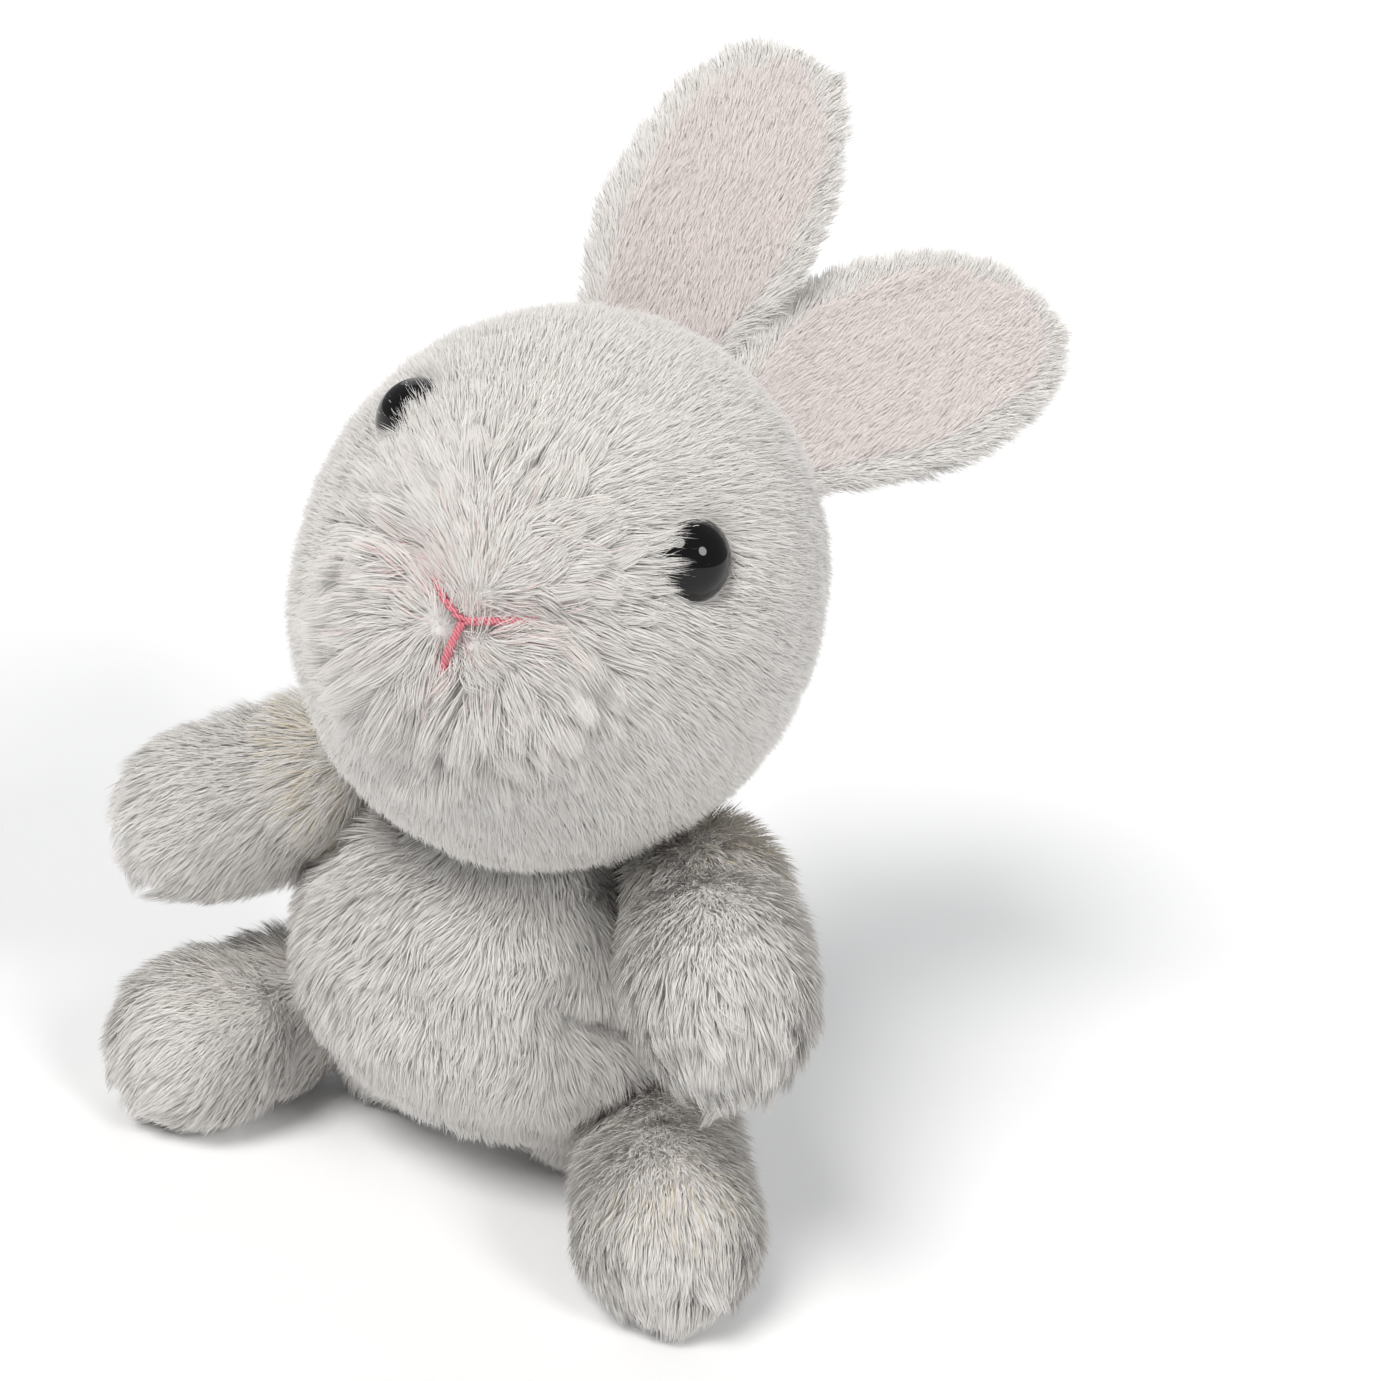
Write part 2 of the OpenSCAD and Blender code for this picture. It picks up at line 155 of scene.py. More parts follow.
def node_points(*names):
    return np.concatenate([arr([v.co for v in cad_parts[n].data.vertices]) for n in names])


def node_middle(*names):
    p = node_points(*names)
    return (p.min(0) + p.max(0)) / 2


def noise_at(points, scale, seed):
    """Smooth noise in -1 to 1 at each point. scale is the size of its lumps."""
    off = Vector((seed * 7.3, seed * 3.1, seed * 5.7))
    return arr([noise.noise(Vector(p) / scale + off) for p in points])


def noise_vectors(points, scale, seed):
    return np.stack([noise_at(points, scale, seed + k) for k in range(3)], 1)


# ---- Landmarks of the toy, read from the CAD nodes ----
class Head:
    """The head's own axes, from where the eyes and the nose are."""

    centre = node_middle("head_stuffing")
    eyes = {s: node_middle("eye_" + s) for s in SIDES}
    nose = node_points("nose_stitches").mean(0)
    left = unit(eyes["left"] - eyes["right"])
    fore = flat_on(nose - centre, left)
    up = np.cross(left, fore)
    up = up * np.sign(up[2])

    @classmethod
    def local(cls, p):
        """Points as (left, fore, up) from the head's centre."""
        q = p - cls.centre
        return np.stack([q @ cls.left, q @ cls.fore, q @ cls.up], 1)


def stitch_ends(points):
    """The two ends of a straight stitch, from its CAD solid."""
    mid = points.mean(0)
    axis = np.linalg.svd(points - mid, full_matrices=False)[2][0]
    t = (points - mid) @ axis
    return mid + axis * t.min(), mid + axis * t.max()


def face_stitches():
    nose = node_points("nose_stitches")
    side = (nose - Head.nose) @ Head.left > 0
    return {"nose_left": stitch_ends(nose[side]), "nose_right": stitch_ends(nose[~side]),
            "mouth": stitch_ends(node_points("mouth_stitch"))}


STITCHES = face_stitches()


def stitch_join():
    """Where the three stitches meet, and each one's outer end."""
    ends = {k: sorted(v, key=lambda p: np.linalg.norm(p - Head.nose))
            for k, v in STITCHES.items()}
    return sum(v[0] for v in ends.values()) / 3, {k: v[1] for k, v in ends.items()}


JOIN, STITCH_FAR = stitch_join()


def from_segment(p, a, b):
    """Distance of points from the segment a-b."""
    ab = b - a
    t = np.clip((p - a) @ ab / (ab @ ab), 0, 1)
    return np.linalg.norm(p - (a + t[:, None] * ab), axis=1)


class EyeBall:
    """The sphere that an eye's dome is part of."""

    def __init__(self, side):
        p = node_points("eye_" + side)
        out = unit(p.mean(0) - Head.centre)
        along = p @ out
        dome = p[along > along.max() - 3.0 * MM]  # the sphere is fitted to these points
        a = np.c_[2 * dome, np.ones(len(dome))]
        x = np.linalg.lstsq(a, (dome ** 2).sum(1), rcond=None)[0]
        self.centre = x[:3]
        self.radius = math.sqrt(x[3] + x[:3] @ x[:3])
        stem = p[along < along.min() + 2.0 * MM].mean(0)
        self.axis = unit(self.centre - stem)


def ball_radius(name):
    lo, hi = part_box(name)
    return (hi.x - lo.x) / 2


def limb_ends(kind, side, root):
    """A limb's root pivot, and its far end on the middle line of its shell and padding."""
    p = node_points(f"{kind}_{side}_shell")
    padding = unit(node_middle(f"{kind}_{side}_stuffing") - root)
    axis = unit(unit(p.mean(0) - root) * 0.5 + padding * 0.5)
    far = p[np.argmax(far_from(p, root))]
    return root, root + axis * np.linalg.norm(far - root)


EYES = {s: EyeBall(s) for s in SIDES}
NECK, TAIL = node_middle("neck_stuffing"), node_middle("tail_stuffing")
TORSO_MID, TORSO_TOP = node_middle("torso_shell"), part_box("torso_shell")[1].z
SHOULDERS = {s: node_middle(f"shoulder_{s}_stuffing") for s in SIDES}
HIPS = {s: node_middle(f"hip_{s}_stuffing") for s in SIDES}
NECK_R = ball_radius("neck_stuffing") + 2.0 * MM
SHOULDER_R = ball_radius("shoulder_left_stuffing") + 4.2 * MM
HIP_R = ball_radius("hip_left_stuffing") + 4.2 * MM
ARMS = {s: limb_ends("arm", s, SHOULDERS[s]) for s in SIDES}
LEGS = {s: limb_ends("leg", s, HIPS[s]) for s in SIDES}


# ---- Materials ----
def new_material(name, rough, sheen=0.0):
    m = bpy.data.materials.new(name)
    m.use_nodes = True
    p = m.node_tree.nodes["Principled BSDF"]
    p.inputs["Roughness"].default_value = rough
    p.inputs["Sheen Weight"].default_value = sheen
    p.inputs["Sheen Roughness"].default_value = 0.5
    p.inputs["Specular IOR Level"].default_value = 0.25
    return m, m.node_tree, p


def ramp(tree, stops):
    """A colour ramp node from (place, colour) pairs, colours linear."""
    r = tree.nodes.new("ShaderNodeValToRGB")
    e = r.color_ramp.elements
    while len(e) < len(stops):
        e.new(0.5)
    for k, (at, colour) in enumerate(stops):
        e[k].position = at
        e[k].color = (*colour, 1)
    return r


WHITES = [(0.0, (0.73, 0.70, 0.67)), (0.3, (0.82, 0.795, 0.765)), (0.55, (0.86, 0.84, 0.815)),
          (0.66, (0.86, 0.75, 0.73)), (0.78, (0.86, 0.58, 0.59)),
          (0.88, (0.83, 0.755, 0.60)), (1.0, (0.76, 0.63, 0.42))]
LININGS = [(0.0, (0.79, 0.735, 0.71)), (0.5, (0.84, 0.785, 0.765)), (1.0, (0.85, 0.765, 0.745))]


def fur_material(name, tones, painted_root_shade):
    """Pile: each strand has a tone of its own, and painted shade darkens it towards its root."""
    m, tree, p = new_material(name, 0.8, 0.25)
    uv = tree.nodes.new("ShaderNodeUVMap")
    uv.uv_map = BAKE_MAP
    split = tree.nodes.new("ShaderNodeSeparateXYZ")
    tree.links.new(uv.outputs["UV"], split.inputs[0])
    tone = ramp(tree, tones)
    tree.links.new(split.outputs["X"], tone.inputs["Fac"])
    # Painted shade: each strand's colour darkens towards its root, where the pile would shade
    # itself.
    shade = ramp(tree, [(0.0, (painted_root_shade,) * 3), (0.45, (0.95, 0.948, 0.945)), (1.0, (1, 1, 1))])
    tree.links.new(split.outputs["Y"], shade.inputs["Fac"])
    mix = tree.nodes.new("ShaderNodeMix")
    mix.data_type, mix.blend_type = "RGBA", "MULTIPLY"
    mix.inputs["Factor"].default_value = 1.0
    tree.links.new(tone.outputs["Color"], mix.inputs["A"])
    tree.links.new(shade.outputs["Color"], mix.inputs["B"])
    tree.links.new(mix.outputs["Result"], p.inputs["Base Color"])
    return m


def texture(tree, kind, **values):
    """A texture node in the object's own coordinates, with its sockets set."""
    place = tree.nodes.new("ShaderNodeTexCoord")
    node = tree.nodes.new(kind)
    for socket, value in values.items():
        node.inputs[socket].default_value = value
    tree.links.new(place.outputs["Object"], node.inputs["Vector"])
    return node


def noise_colour(name, low, high, size, rough, sheen=0.0, bump=0.0):
    """A matt material whose colour and relief vary with noise of the given size."""
    m, tree, p = new_material(name, rough, sheen)
    n = texture(tree, "ShaderNodeTexNoise", Scale=1 / size, Detail=4.0)
    r = ramp(tree, [(0.3, low), (0.7, high)])
    tree.links.new(n.outputs["Fac"], r.inputs["Fac"])
    tree.links.new(r.outputs["Color"], p.inputs["Base Color"])
    if bump:
        b = tree.nodes.new("ShaderNodeBump")
        b.inputs["Strength"].default_value = bump
        b.inputs["Distance"].default_value = size * 0.3
        tree.links.new(n.outputs["Fac"], b.inputs["Height"])
        tree.links.new(b.outputs["Normal"], p.inputs["Normal"])
    return m


def thread_material(name, low, high):
    """Twisted thread: fine slanting plies in its colour."""
    m, tree, p = new_material(name, 0.55, 0.2)
    w = texture(tree, "ShaderNodeTexWave", Scale=900, Distortion=1.5)
    w.bands_direction = "DIAGONAL"
    r = ramp(tree, [(0.1, low), (0.8, high)])
    tree.links.new(w.outputs["Fac"], r.inputs["Fac"])
    tree.links.new(r.outputs["Color"], p.inputs["Base Color"])
    return m


def eye_material():
    """Polished black plastic with faint rubbing in its gloss."""
    m, tree, p = new_material("eye_black", 0.07)
    p.inputs["Base Color"].default_value = (0.004, 0.0035, 0.0035, 1)
    p.inputs["Specular IOR Level"].default_value = 0.35
    n = texture(tree, "ShaderNodeTexNoise", Scale=500)
    span = tree.nodes.new("ShaderNodeMapRange")
    span.inputs["To Min"].default_value = 0.03
    span.inputs["To Max"].default_value = 0.08
    tree.links.new(n.outputs["Fac"], span.inputs["Value"])
    tree.links.new(span.outputs["Result"], p.inputs["Roughness"])
    return m


MATS = {
    # The last number is how dark the painted shade at the strands' roots is.
    "fur": fur_material("white_pile", WHITES, 0.9),
    "ear_pile": fur_material("ear_lining_pile", LININGS, 0.88),
    "skin": noise_colour("pile_backing", (0.76, 0.745, 0.73), (0.86, 0.845, 0.83), 4 * MM,
                         0.9, 0.3, 0.4),
    "ear_skin": noise_colour("ear_lining_backing", (0.78, 0.73, 0.71), (0.86, 0.81, 0.79),
                             3 * MM, 0.9, 0.3, 0.4),
    "fill": noise_colour("polyester_fill", (0.75, 0.75, 0.74), (0.88, 0.88, 0.87), 1.5 * MM,
                         0.9, 0.4, 0.8),
    "white_thread": thread_material("white_thread", (0.55, 0.54, 0.51), (0.8, 0.79, 0.76)),
    "pink_thread": thread_material("pink_thread", (0.50, 0.10, 0.14), (0.72, 0.27, 0.31)),
    "eye": eye_material(),
    "washer": noise_colour("washer_plastic", (0.62, 0.62, 0.6), (0.7, 0.7, 0.68), 2 * MM, 0.4),
}


# ---- Padded skins ----
def mesh_points(mesh, what="co"):
    values = np.empty(len(mesh.vertices) * 3, np.float32)
    mesh.vertices.foreach_get(what, values)
    return values.reshape(-1, 3).astype(float)


def mesh_normals(mesh):
    return mesh_points(mesh, "normal")


def put_points(mesh, co):
    mesh.vertices.foreach_set("co", co.astype(np.float32).ravel())
    mesh.update()


def add_object(name, data):
    o = bpy.data.objects.new(name, data)
    bpy.context.scene.collection.objects.link(o)
    return o


def mesh_from(bm, name):
    mesh = bpy.data.meshes.new(name)
    bm.to_mesh(mesh)
    bm.free()
    return mesh


def mesh_object(name, mesh, material):
    o = add_object(name, mesh)
    mesh.materials.clear()
    mesh.materials.append(MATS[material])
    mesh.polygons.foreach_set("use_smooth", np.ones(len(mesh.polygons), bool))
    return o


def tree_of(*meshes):
    points, faces = [], []
    for mesh in meshes:
        base = len(points)
        points += [v.co.copy() for v in mesh.vertices]
        faces += [[base + i for i in f.vertices] for f in mesh.polygons]
    return BVHTree.FromPolygons(points, faces)


def node_tree(names):
    return tree_of(*(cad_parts[n].data for n in names))


def cast_skin(names, level):
    """A closed ball of faces drawn in onto some CAD nodes, then set in a little."""
    centre = Vector(node_middle(*names))
    bm = bmesh.new()
    bmesh.ops.create_icosphere(bm, subdivisions=level, radius=1.0)
    tree = node_tree(names)
    for v in bm.verts:
        d = v.co.normalized()
        hit = tree.ray_cast(centre + d, -d)[0]
        v.co = d * ((hit - centre).length - SKIN_INSET)
    for _ in range(2):  # closes the stem holes and softens the dimples' edges
        mean = [sum((e.other_vert(v).co.length for e in v.link_edges), 0.0)
                / len(v.link_edges) for v in bm.verts]
        for v, r in zip(bm.verts, mean):
            v.co *= 1 + 0.6 * (r / v.co.length - 1)
    for v in bm.verts:
        v.co += centre
    return mesh_from(bm, "cast")


def inflate(skins):
    """Every skin swells as simulated cloth between its sewn seams, up to a cap."""
    scene = bpy.context.scene
    rest = {}
    for o, seam in skins:
        co = mesh_points(o.data)
        rest[o.name] = co.copy()
        group = o.vertex_groups.new(name="sewn")
        held = seam(co)
        for i in np.nonzero(held > 0.02)[0]:
            group.add([int(i)], float(held[i]), "REPLACE")
        o.data.transform(Matrix.Scale(SIM_SCALE, 4))
        cloth = o.modifiers.new("Cloth", "CLOTH")
        s = cloth.settings
        s.quality = SIM_QUALITY
        s.use_pressure = True
        s.uniform_pressure_force = PRESSURE
        s.tension_stiffness = s.compression_stiffness = STIFFNESS
        s.bending_stiffness = BENDING
        s.vertex_group_mass = "sewn"
        s.effector_weights.gravity = 0
        cloth.collision_settings.use_collision = False
    scene.frame_start, scene.frame_end = 1, SIM_FRAMES
    for f in range(1, SIM_FRAMES + 1):
        scene.frame_set(f)
    dg = bpy.context.evaluated_depsgraph_get()
    for o, _ in skins:
        moved = mesh_points(bpy.data.meshes.new_from_object(o.evaluated_get(dg))) / SIM_SCALE
        o.modifiers.clear()
        o.vertex_groups.clear()
        step = moved - rest[o.name]
        far = np.linalg.norm(step, axis=1, keepdims=True)
        step *= np.tanh(far / SWELL_CAP) * SWELL_CAP / np.maximum(far, 1e-9)
        put_points(o.data, rest[o.name] + step)
    scene.frame_set(1)


def subdivide(o):
    m = o.modifiers.new("Smooth", "SUBSURF")
    m.levels = m.render_levels = 1
    dg = bpy.context.evaluated_depsgraph_get()
    mesh = bpy.data.meshes.new_from_object(o.evaluated_get(dg))
    o.modifiers.clear()
    o.data = mesh


def plump(o, extra, others):
    """Moves a skin outward, but never more than half way to another body's shell."""
    co, n = mesh_points(o.data), mesh_normals(o.data)
    tree = node_tree(others)
    room = arr([tree.find_nearest(Vector(p))[3] for p in co])
    grow_by = np.minimum(extra, 0.5 * np.maximum(room - BODY_GAP, 0))
    put_points(o.data, co + n * grow_by[:, None])


def near_plane(co, axis, at, width):
    """Holding weight along a seam: 1 on the plane, none past its width."""
    return 1 - smooth_step(np.abs((co - at) @ axis), 0.3 * width, width)


def head_seam(co):
    """Seams of the head: up the back, and down from the mouth to the neck."""
    q = Head.local(co)
    low = q[:, 2] < Head.local(STITCHES["mouth"][0][None])[0, 2]
    back = q[:, 1] < -6 * MM
    seam = near_plane(co, Head.left, Head.centre, 2.5 * MM) * (low | back)
    neck = 1 - smooth_step(co[:, 2], co[:, 2].min() + 4 * MM, co[:, 2].min() + 9 * MM)
    return np.maximum(seam, neck)


def torso_seam(co):
    """Seams of the torso: up the back, down each flank, and the flat seat."""
    mid = (co.min(0) + co.max(0)) / 2
    across, along = np.array([1.0, 0, 0]), np.array([0, 1.0, 0])
    back = near_plane(co, across, np.zeros(3), 2.5 * MM) * (co[:, 1] > mid[1])
    flank = near_plane(co, along, mid, 3 * MM)
    seat = 1 - smooth_step(co[:, 2], 1.5 * MM, 4 * MM)
    neck = smooth_step(co[:, 2], co[:, 2].max() - 6 * MM, co[:, 2].max() - 3 * MM)
    return np.maximum.reduce([back, flank * 0.7, seat, neck])


def limb_seam(root, tip):
    """A limb's seams: the round that is sewn to the body, and one along its underside."""
    axis = unit(tip - root)
    side = unit(np.cross(axis, [0, 0, 1.0]))

    def held(co):
        t = (co - root) @ axis
        under = (co[:, 2] < root[2]) * near_plane(co, side, root, 2.5 * MM)
        return np.maximum(1 - smooth_step(t, 0.0, 6 * MM), 0.8 * under)

    return held


def tail_seam(co):
    return 1 - smooth_step(co[:, 1], co[:, 1].min() + 2 * MM, co[:, 1].min() + 8 * MM)


def press_in(o, amount):
    """Moves a skin inward by an amount that varies over its points."""
    co, n = mesh_points(o.data), mesh_normals(o.data)
    put_points(o.data, co - n * amount(co)[:, None])


def head_relief(co):
    """Inward depth on the head: nose, valley under it, cheeks and sockets."""
    a, b = STITCHES["mouth"]
    low, high = (a, b) if Head.local(a[None])[0, 2] < Head.local(b[None])[0, 2] else (b, a)
    chin = low + (low - high) * 1.6 - Head.fore * 3 * MM
    valley = fade(from_segment(co, high, chin), 3.2 * MM) * 1.9 * MM
    for k in ("nose_left", "nose_right"):
        valley = np.maximum(valley, fade(from_segment(co, *STITCHES[k]), 2.2 * MM) * 1.2 * MM)
    middles = [low + Head.left * s * 11 * MM - Head.up * 1 * MM for s in (-1, 1)]
    cheeks = sum(fade(far_from(co, c), 8.5 * MM) for c in middles)
    socket = sum(fade(far_from(co, e.centre), 6.5 * MM) for e in EYES.values())
    return valley - cheeks * 2.0 * MM + socket * 1.6 * MM + noise_at(co, 17 * MM, 3) * 0.5 * MM


def fold_line():
    lo, hi = (arr(v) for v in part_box("torso_stuffing"))
    mid, half = (lo + hi) / 2, (hi - lo) / 2
    line = []
    for turn, share in zip(FOLD_TURNS, FOLD_HEIGHTS):
        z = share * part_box("torso_shell")[1].z
        r = math.sqrt(max(1 - ((z - mid[2]) / half[2]) ** 2, 0.1)) * 1.07
        t = math.radians(turn)
        line.append(np.array([math.sin(t) * half[0] * r, mid[1] - math.cos(t) * half[1] * r, z]))
    return line


FOLD = fold_line()


def from_fold(co):
    return np.min([from_segment(co, a, b) for a, b in zip(FOLD, FOLD[1:])], axis=0)


def torso_relief(co):
    """Inward depth on the torso: the belly's fold and slight unevenness."""
    return fade(from_fold(co), 3.4 * MM) * 6.0 * MM + noise_at(co, 15 * MM, 5) * 0.8 * MM


def raise_front(o):
    """Rounds the belly's lower front up and back off the floor."""
    co = mesh_points(o.data)
    share = smooth_step(TORSO_MID[1] - co[:, 1], -2 * MM, 15 * MM)
    share = share * (1 - smooth_step(co[:, 2], 0, 34 * MM))
    co[:, 2] += FRONT_LIFT * share
    co[:, 1] += FRONT_BACK * share
    put_points(o.data, co)


def limb_relief(seed):
    return lambda co: noise_at(co, 11 * MM, seed) * 0.6 * MM


def shorten(o, root, tip, share):
    """Draws a limb's end back towards its root, more and more along its reach."""
    co = mesh_points(o.data)
    reach = np.linalg.norm(tip - root)
    axis = (tip - root) / reach
    t = np.clip((co - root) @ axis / reach, 0, 2)
    put_points(o.data, co - axis * (share * reach * t ** 2)[:, None])


# ---- Fur ----
RNG = np.random.default_rng(SEED)
STEPS = np.array([0.0, 0.4, 0.75, 1.0])
WIDTHS = np.array([1.0, 0.95, 0.62])


def triangles(mesh):
    mesh.calc_loop_triangles()
    t = np.empty(len(mesh.loop_triangles) * 3, np.int32)
    mesh.loop_triangles.foreach_get("vertices", t)
    return t.reshape(-1, 3)


def scatter(mesh, per_mm2, want=None):
    """Seeded points all over a mesh with their normals, thinned by want(points, normals)."""
    tri, co, nor = triangles(mesh), mesh_points(mesh), mesh_normals(mesh)
    a, b, c = co[tri[:, 0]], co[tri[:, 1]], co[tri[:, 2]]
    area = np.linalg.norm(np.cross(b - a, c - a), axis=1) / 2
    count = int(area.sum() / MM ** 2 * per_mm2)
    pick = RNG.choice(len(tri), count, p=area / area.sum())
    u, v = RNG.random((2, count, 1))
    over = (u + v > 1)
    u, v = np.where(over, 1 - u, u), np.where(over, 1 - v, v)
    p = a[pick] + u * (b[pick] - a[pick]) + v * (c[pick] - a[pick])
    n = unit((1 - u - v) * nor[tri[pick, 0]] + u * nor[tri[pick, 1]] + v * nor[tri[pick, 2]])
    if want is not None:
        keep = RNG.random(count) < want(p, n)
        p, n = p[keep], n[keep]
    return p, n


# In the functions below p and n are points and normals on a skin, one row to a strand, and nap is
# the way each strand lies along the skin. A groom gives the nap, length, lean, bend and tint.
def curves(p, n, nap, length, lean, bend):
    """Each strand's points from root to tip: it leaves at its lean and bows over to its nap."""
    length, lean, bend = (np.broadcast_to(v, len(p)) for v in (length, lean, bend))
    start = unit(n * np.cos(lean)[:, None] + nap * np.sin(lean)[:, None])
    end = unit(start + nap * bend[:, None] - n * (0.45 * bend)[:, None])
    s = STEPS[None, :, None]
    way = s * start[:, None] * (1 - 0.5 * s) + 0.5 * s * s * end[:, None]
    return p[:, None] + way * length[:, None, None]


def clump(p, line, groom, tufts, pull):
    """Draws the strands' ends together into locks, each round a leading strand."""
    q, m = tufts
    nap, length, lean, bend, _ = groom(q, m)
    swirl = noise_vectors(q, 9 * MM, 21) * 0.55 + RNG.normal(0, 0.16, q.shape)
    nap = flat_on(nap + swirl, m)
    length = length * (1 + 0.22 * RNG.normal(0, 1, len(q)).clip(-1.6, 1.6))
    lead = curves(q, m, nap, length, lean * (1 + 0.12 * RNG.normal(0, 1, len(q))), bend)
    tree = kdtree.KDTree(len(q))
    for i, x in enumerate(q):
        tree.insert(x, i)
    tree.balance()
    near = np.fromiter((tree.find(x)[1] for x in p), int, len(p))
    drift = (p - q[near])[:, None] * (1 - LOCK_TIGHT)
    goal = lead[near] + drift
    share = pull[near][:, None, None] * STEPS[None, :, None] ** 1.3
    return line + (goal - line) * share, near


def strand_mesh(name, line, n, tone, width):
    """Builds the strands as flat tapering blades of seven points and three faces each."""
    count, rows = line.shape[:2]
    along = unit(line[:, -1] - line[:, 0])
    side = np.cross(along, n)
    loose = np.linalg.norm(side, axis=1) < 0.05
    side[loose] = np.cross(along[loose], [0.3, 0.5, 0.8])
    side = unit(side)
    out = unit(np.cross(side, along))
    out *= np.sign(dot(out, n) + 1e-9)
    turn = RNG.uniform(-STRAND_TWIST, STRAND_TWIST, (count, 1))
    side, out = side * np.cos(turn) + out * np.sin(turn), out * np.cos(turn) - side * np.sin(turn)
    half = side[:, None] * (WIDTHS[None, :, None] * width[:, None, None] / 2)
    body = np.stack([line[:, :-1] - half, line[:, :-1] + half], 2).reshape(count, -1, 3)
    verts = np.concatenate([body, line[:, -1:]], 1)  # 7 to a strand
    around = np.stack([-side, side] * (rows - 1) + [side * 0], 1)
    shade = unit(n[:, None] * 0.85 + out[:, None] * 0.25 + around * 0.14)
    # Faces wind so that they look outward.
    flip = dot(np.cross(verts[:, 1] - verts[:, 0], verts[:, 2] - verts[:, 0]), out)[:, 0] < 0
    order = np.array([0, 1, 3, 2, 2, 3, 5, 4, 4, 5, 6])
    back = np.array([2, 3, 1, 0, 4, 5, 3, 2, 6, 5, 4])
    loops = np.where(flip[:, None], back, order) + 7 * np.arange(count)[:, None]
    mesh = bpy.data.meshes.new(name)
    mesh.vertices.add(count * 7)
    mesh.vertices.foreach_set("co", verts.astype(np.float32).ravel())
    mesh.loops.add(loops.size)
    mesh.loops.foreach_set("vertex_index", loops.astype(np.int32).ravel())
    mesh.polygons.add(count * 3)
    starts = (np.array([0, 4, 8]) + 11 * np.arange(count)[:, None]).ravel()
    mesh.polygons.foreach_set("loop_start", starts.astype(np.int32))
    mesh.polygons.foreach_set("use_smooth", np.ones(count * 3, bool))
    across = np.array([-1, 1, -1, 1, -1, 1, 0]) * TONE_W / 2
    upward = np.repeat(STEPS, [2, 2, 2, 1]) * 0.96 + 0.02
    uv = np.stack([np.clip(tone, TONE_W, 1 - TONE_W)[:, None] + across,
                   np.broadcast_to(upward, (count, 7))], 2).reshape(-1, 2)
    layer = mesh.uv_layers.new(name=BAKE_MAP)
    layer.uv.foreach_set("vector", uv[loops.ravel()].astype(np.float32).ravel())
    mesh.update(calc_edges=True)
    mesh.normals_split_custom_set_from_vertices(shade.reshape(-1, 3).astype(np.float32))
    return mesh


def grow(name, skin, body, groom, per_mm2, want=None, *, pull, width, tuft_mm2=0.16,
         material="fur", clear=None):
    """Grows the pile of one skin as one piece that rides on the skin's body."""
    p, n = (x[:MOST_STRANDS] for x in scatter(skin.data, per_mm2, want))
    tufts = scatter(skin.data, tuft_mm2)
    nap, length, lean, bend, tone = groom(p, n)
    nap = flat_on(nap + RNG.normal(0, 0.30, p.shape), n)
    length = length * RNG.uniform(0.72, 1.1, len(p))
    lean = lean * RNG.uniform(0.75, 1.2, len(p))
    line = curves(p - n * 0.2 * MM, n, nap, length, lean, bend)
    pulls = pull(tufts[0]) if callable(pull) else pull
    pulls = pulls * RNG.uniform(0.6, 1.25, len(tufts[0]))
    line, near = clump(p, line, groom, tufts, pulls)
    line[..., 2] = np.maximum(line[..., 2], FUR_FLOOR)
    tuft_tone = RNG.normal(0, 0.05, len(tufts[0]))[near]
    clean = np.clip(CLEAN_TONE + tuft_tone + RNG.normal(0, 0.05, len(p)), 0.02, 0.58)
    tone = np.where(RNG.random(len(p)) < tone[:, 1], tone[:, 0] + RNG.normal(0, 0.02, len(p)),
                    clean)
    if clear is not None:
        line = clear(line)
    widths = width * RNG.uniform(0.7, 1.25, len(p))
    mesh = strand_mesh(name, line, n, tone, widths)
    o = mesh_object(name, mesh, material)
    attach(o, body)
    return o


def tinted(p, part, share):
    """The tone of the part's tinted strands, and the share of strands that have it."""
    return np.stack([np.full(len(p), TINT[part]), np.broadcast_to(share, len(p))], 1)


def over_eyes(line):
    """Keeps strands from passing through the eyes: they lie on the domes instead."""
    for e in EYES.values():
        q = line - e.centre
        r = np.linalg.norm(q, axis=-1, keepdims=True)
        least = e.radius + EYE_CLEAR
        line = np.where(r < least, e.centre + q / np.maximum(r, 1e-9) * least, line)
    return line


def head_want(p, n):
    """Where the head's pile grows: not under the eyes, nor in the neck's socket."""
    keep = np.ones(len(p))
    for e in EYES.values():
        q = p - e.centre
        off = np.linalg.norm(q - dot(q, e.axis) * e.axis, axis=1)
        keep[(off < EYE_BALD) & (dot(q, e.axis)[:, 0] > -8 * MM)] = 0
    keep[far_from(p, NECK) < NECK_R + 1.0 * MM] = 0
    return keep


def beside_eyes(p):
    """1 on the nose's side of each eye, where long strands reach over it."""
    spots = [e.centre - Head.left * s * 5.5 * MM for e, s in zip(EYES.values(), (1, -1))]
    return sum(fade(far_from(p, spot), 4.5 * MM) for spot in spots)


def head_nap(p, n, away, far, thread):
    """The head's pile sweeps away from the nose, hangs a little, and is mixed at the stitches."""
    centre = fade(far, 6 * MM)[:, None]
    nap = flat_on(unit(away) * (1 - centre) + Head.up * centre + np.array([0, 0, -0.35]), n)
    mixed = np.maximum(fade(thread, 3.0 * MM)[:, None], fade(far, 5.0 * MM)[:, None])
    return flat_on(nap + mixed * (1.3 * noise_vectors(p, 3 * MM, 60) - Head.up * 0.3), n)


